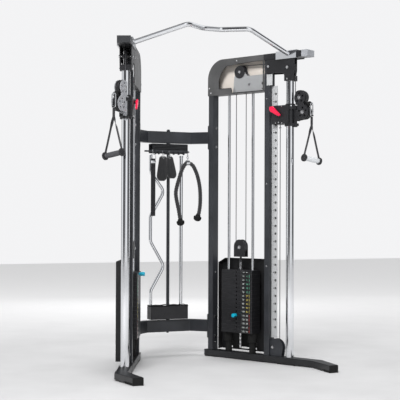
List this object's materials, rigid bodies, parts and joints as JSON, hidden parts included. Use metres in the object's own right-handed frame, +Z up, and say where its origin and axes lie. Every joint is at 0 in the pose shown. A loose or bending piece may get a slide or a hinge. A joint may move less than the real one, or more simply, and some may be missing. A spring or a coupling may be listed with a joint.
{
  "type": "functional trainer",
  "caption": "Free-standing cable trainer: two flared towers with pinned weight stacks, sliding swivel pulleys on chrome columns, angled pull-up bar and turning accessory rack.",
  "frame": {"origin": "on the floor, at the middle of the footprint box", "axes": "+Z up, +Y from the open front towards the crossbeams at the rear, +X towards the tower on the viewer's right as seen from the front"},
  "size_m": [1.4323, 1.152, 2.1078],
  "materials": {
    "frame_paint": "satin dark charcoal powder coat",
    "hood_paint": "satin mid grey powder coat",
    "chrome": "polished chrome",
    "silver_steel": "satin silver",
    "zinc": "zinc plate",
    "bolt_steel": "bright zinc",
    "rubber": "moulded matte",
    "black_plastic": "moulded fine grain",
    "pulley_nylon": "moulded nylon",
    "plate_steel": "black satin paint",
    "shroud_paint": "black satin powder coat",
    "red_plastic": "bright red",
    "cyan_plastic": "bright cyan",
    "cap_grey": "light grey",
    "webbing": "woven nylon",
    "rope": "braided nylon",
    "neoprene": "padded",
    "cable_jacket": "nylon coated steel cable"
  },
  "bodies": {
    "root": {"base_tube_right": "frame_paint", "base_tube_left": "frame_paint", "tube_end_caps": "cap_grey", "foot_pads": "rubber", "rear_uprights": "frame_paint", "front_upright_right": "frame_paint", "front_upright_left": "frame_paint", "hood_right": "hood_paint", "hood_left": "hood_paint", "guide_columns": "chrome", "adjustment_strips": "zinc", "column_top_brackets": "frame_paint", "guide_rods": "chrome", "weight_shrouds": "shroud_paint", "stack_cushions": "rubber", "pulley_plates": "silver_steel", "lower_pulley_guards": "frame_paint", "frame_bolts": "bolt_steel", "upper_crossbeam": "frame_paint", "lower_crossbeam": "frame_paint", "pull_up_bar": "chrome", "resting_plates_right": "plate_steel", "resting_plates_left": "plate_steel", "cables": "cable_jacket"},
    "rack": {"rack_frame": "frame_paint", "rack_tray": "black_plastic", "straight_bar": "chrome", "curl_bar": "chrome", "triceps_rope": "rope", "long_strap": "webbing", "ankle_cuffs": "neoprene"},
    "carriage_right": {"carriage_right": "frame_paint"},
    "pop_pin_right": {"pop_pin_right": "red_plastic"},
    "swivel_right": {"swivel_bracket_right": "frame_paint"},
    "swivel_pulley_upper_right": {"swivel_pulley_upper_right": "pulley_nylon"},
    "swivel_pulley_lower_right": {"swivel_pulley_lower_right": "pulley_nylon"},
    "handle_right": {"handle_right": "webbing"},
    "top_pulley_right": {"top_pulley_right": "pulley_nylon"},
    "hood_pulley_right": {"hood_pulley_right": "pulley_nylon"},
    "transfer_pulley_rear_right": {"transfer_pulley_rear_right": "pulley_nylon"},
    "transfer_pulley_front_right": {"transfer_pulley_front_right": "pulley_nylon"},
    "lower_pulley_right": {"lower_pulley_right": "pulley_nylon"},
    "stack_right": {"head_plate_right": "plate_steel", "lifted_plates_right": "plate_steel"},
    "travelling_pulley_right": {"travelling_pulley_right": "pulley_nylon"},
    "selector_pin_right": {"selector_pin_right": "cyan_plastic"},
    "carriage_left": {"carriage_left": "frame_paint"},
    "pop_pin_left": {"pop_pin_left": "red_plastic"},
    "swivel_left": {"swivel_bracket_left": "silver_steel"},
    "swivel_pulley_upper_left": {"swivel_pulley_upper_left": "pulley_nylon"},
    "swivel_pulley_lower_left": {"swivel_pulley_lower_left": "pulley_nylon"},
    "handle_left": {"handle_left": "webbing"},
    "top_pulley_left": {"top_pulley_left": "pulley_nylon"},
    "hood_pulley_left": {"hood_pulley_left": "pulley_nylon"},
    "transfer_pulley_rear_left": {"transfer_pulley_rear_left": "pulley_nylon"},
    "transfer_pulley_front_left": {"transfer_pulley_front_left": "pulley_nylon"},
    "lower_pulley_left": {"lower_pulley_left": "pulley_nylon"},
    "stack_left": {"head_plate_left": "plate_steel"},
    "travelling_pulley_left": {"travelling_pulley_left": "pulley_nylon"},
    "selector_pin_left": {"selector_pin_left": "cyan_plastic"}
  },
  "joints": [
    {"name": "rack_turn", "type": "hinge", "parent": "root", "child": "rack", "pos_m": [0.01293, 0.536, 0.9], "axis": [0, 0, 1], "continuous": true},
    {"name": "carriage_slide_right", "type": "slide", "parent": "root", "child": "carriage_right", "axis": [0, 0, 1], "range_m": [-1.2, 0.05], "deforming": ["cables"]},
    {"name": "pop_pin_pull_right", "type": "slide", "parent": "carriage_right", "child": "pop_pin_right", "axis": [-0.9008, -0.4341, 0], "range_m": [-0.007, 0.004]},
    {"name": "swivel_turn_right", "type": "hinge", "parent": "carriage_right", "child": "swivel_right", "pos_m": [0.5863, -0.19027, 1.6], "axis": [0, 0, 1], "range_deg": [-70, 70]},
    {"name": "swivel_pulley_upper_spin_right", "type": "hinge", "parent": "swivel_right", "child": "swivel_pulley_upper_right", "pos_m": [0.60497, -0.22901, 1.692], "axis": [-0.9008, -0.4341, 0], "continuous": true},
    {"name": "swivel_pulley_lower_spin_right", "type": "hinge", "parent": "swivel_right", "child": "swivel_pulley_lower_right", "pos_m": [0.61539, -0.25063, 1.598], "axis": [-0.9008, -0.4341, 0], "continuous": true},
    {"name": "handle_swing_right", "type": "hinge", "parent": "swivel_right", "child": "handle_right", "pos_m": [0.63275, -0.28666, 1.649], "axis": [-0.9008, -0.4341, 0], "range_deg": [0, 90]},
    {"name": "top_pulley_spin_right", "type": "hinge", "parent": "root", "child": "top_pulley_right", "pos_m": [0.57067, -0.15784, 1.888], "axis": [-0.9008, -0.4341, 0], "continuous": true},
    {"name": "hood_pulley_spin_right", "type": "hinge", "parent": "root", "child": "hood_pulley_right", "pos_m": [0.39702, 0.2025, 1.893], "axis": [-0.9008, -0.4341, 0], "continuous": true},
    {"name": "transfer_pulley_rear_spin_right", "type": "hinge", "parent": "root", "child": "transfer_pulley_rear_right", "pos_m": [0.43262, 0.12863, 1.805], "axis": [-0.9008, -0.4341, 0], "continuous": true},
    {"name": "transfer_pulley_front_spin_right", "type": "hinge", "parent": "root", "child": "transfer_pulley_front_right", "pos_m": [0.48015, 0.02999, 1.805], "axis": [-0.9008, -0.4341, 0], "continuous": true},
    {"name": "lower_pulley_spin_right", "type": "hinge", "parent": "root", "child": "lower_pulley_right", "pos_m": [0.51641, -0.04523, 0.102], "axis": [-0.9008, -0.4341, 0], "continuous": true},
    {"name": "stack_lift_right", "type": "slide", "parent": "root", "child": "stack_right", "axis": [0, 0, 1], "range_m": [0, 0.9]},
    {"name": "travelling_pulley_spin_right", "type": "hinge", "parent": "stack_right", "child": "travelling_pulley_right", "pos_m": [0.39702, 0.2025, 0.735], "axis": [-0.9008, -0.4341, 0], "continuous": true},
    {"name": "selector_pin_pull_right", "type": "slide", "parent": "stack_right", "child": "selector_pin_right", "axis": [-0.9008, -0.4341, 0], "range_m": [0, 0.075]},
    {"name": "carriage_slide_left", "type": "slide", "parent": "root", "child": "carriage_left", "axis": [0, 0, 1], "range_m": [-1.2, 0.05]},
    {"name": "pop_pin_pull_left", "type": "slide", "parent": "carriage_left", "child": "pop_pin_left", "axis": [0.9008, -0.4341, 0], "range_m": [-0.007, 0.004]},
    {"name": "swivel_turn_left", "type": "hinge", "parent": "carriage_left", "child": "swivel_left", "pos_m": [-0.56044, -0.19027, 1.6], "axis": [0, 0, -1], "range_deg": [-97, 43]},
    {"name": "swivel_pulley_upper_spin_left", "type": "hinge", "parent": "swivel_left", "child": "swivel_pulley_upper_left", "pos_m": [-0.59466, -0.21631, 1.692], "axis": [-0.6056, 0.7958, 0], "continuous": true},
    {"name": "swivel_pulley_lower_spin_left", "type": "hinge", "parent": "swivel_left", "child": "swivel_pulley_lower_left", "pos_m": [-0.61376, -0.23084, 1.598], "axis": [-0.6056, 0.7958, 0], "continuous": true},
    {"name": "handle_swing_left", "type": "hinge", "parent": "swivel_left", "child": "handle_left", "pos_m": [-0.64559, -0.25507, 1.649], "axis": [-0.6056, 0.7958, 0], "range_deg": [0, 90]},
    {"name": "top_pulley_spin_left", "type": "hinge", "parent": "root", "child": "top_pulley_left", "pos_m": [-0.54481, -0.15784, 1.888], "axis": [-0.9008, 0.4341, 0], "continuous": true},
    {"name": "hood_pulley_spin_left", "type": "hinge", "parent": "root", "child": "hood_pulley_left", "pos_m": [-0.37116, 0.2025, 1.893], "axis": [-0.9008, 0.4341, 0], "continuous": true},
    {"name": "transfer_pulley_rear_spin_left", "type": "hinge", "parent": "root", "child": "transfer_pulley_rear_left", "pos_m": [-0.40676, 0.12863, 1.805], "axis": [-0.9008, 0.4341, 0], "continuous": true},
    {"name": "transfer_pulley_front_spin_left", "type": "hinge", "parent": "root", "child": "transfer_pulley_front_left", "pos_m": [-0.4543, 0.02999, 1.805], "axis": [-0.9008, 0.4341, 0], "continuous": true},
    {"name": "lower_pulley_spin_left", "type": "hinge", "parent": "root", "child": "lower_pulley_left", "pos_m": [-0.49055, -0.04523, 0.102], "axis": [-0.9008, 0.4341, 0], "continuous": true},
    {"name": "stack_lift_left", "type": "slide", "parent": "root", "child": "stack_left", "axis": [0, 0, 1], "range_m": [0, 0.9]},
    {"name": "travelling_pulley_spin_left", "type": "hinge", "parent": "stack_left", "child": "travelling_pulley_left", "pos_m": [-0.37116, 0.2025, 0.735], "axis": [-0.9008, 0.4341, 0], "continuous": true},
    {"name": "selector_pin_pull_left", "type": "slide", "parent": "stack_left", "child": "selector_pin_left", "axis": [0.9008, -0.4341, 0], "range_m": [0, 0.075]}
  ],
  "couplings": [
    {"joint": "hood_pulley_spin_right", "follows": "stack_lift_right", "rad_per_m": -48.781},
    {"joint": "top_pulley_spin_right", "follows": "stack_lift_right", "rad_per_m": -55.556},
    {"joint": "swivel_pulley_upper_spin_right", "follows": "stack_lift_right", "rad_per_m": 46.512},
    {"joint": "travelling_pulley_spin_right", "follows": "stack_lift_right", "rad_per_m": -24.39},
    {"joint": "lower_pulley_spin_right", "follows": "carriage_slide_right", "rad_per_m": 23.529},
    {"joint": "transfer_pulley_front_spin_right", "follows": "carriage_slide_right", "rad_per_m": -24.39},
    {"joint": "transfer_pulley_rear_spin_right", "follows": "carriage_slide_right", "rad_per_m": -24.39},
    {"joint": "hood_pulley_spin_left", "follows": "stack_lift_left", "rad_per_m": -48.781},
    {"joint": "top_pulley_spin_left", "follows": "stack_lift_left", "rad_per_m": -55.556},
    {"joint": "swivel_pulley_upper_spin_left", "follows": "stack_lift_left", "rad_per_m": 46.512},
    {"joint": "travelling_pulley_spin_left", "follows": "stack_lift_left", "rad_per_m": -24.39},
    {"joint": "lower_pulley_spin_left", "follows": "carriage_slide_left", "rad_per_m": 23.529},
    {"joint": "transfer_pulley_front_spin_left", "follows": "carriage_slide_left", "rad_per_m": -24.39},
    {"joint": "transfer_pulley_rear_spin_left", "follows": "carriage_slide_left", "rad_per_m": -24.39}
  ]
}
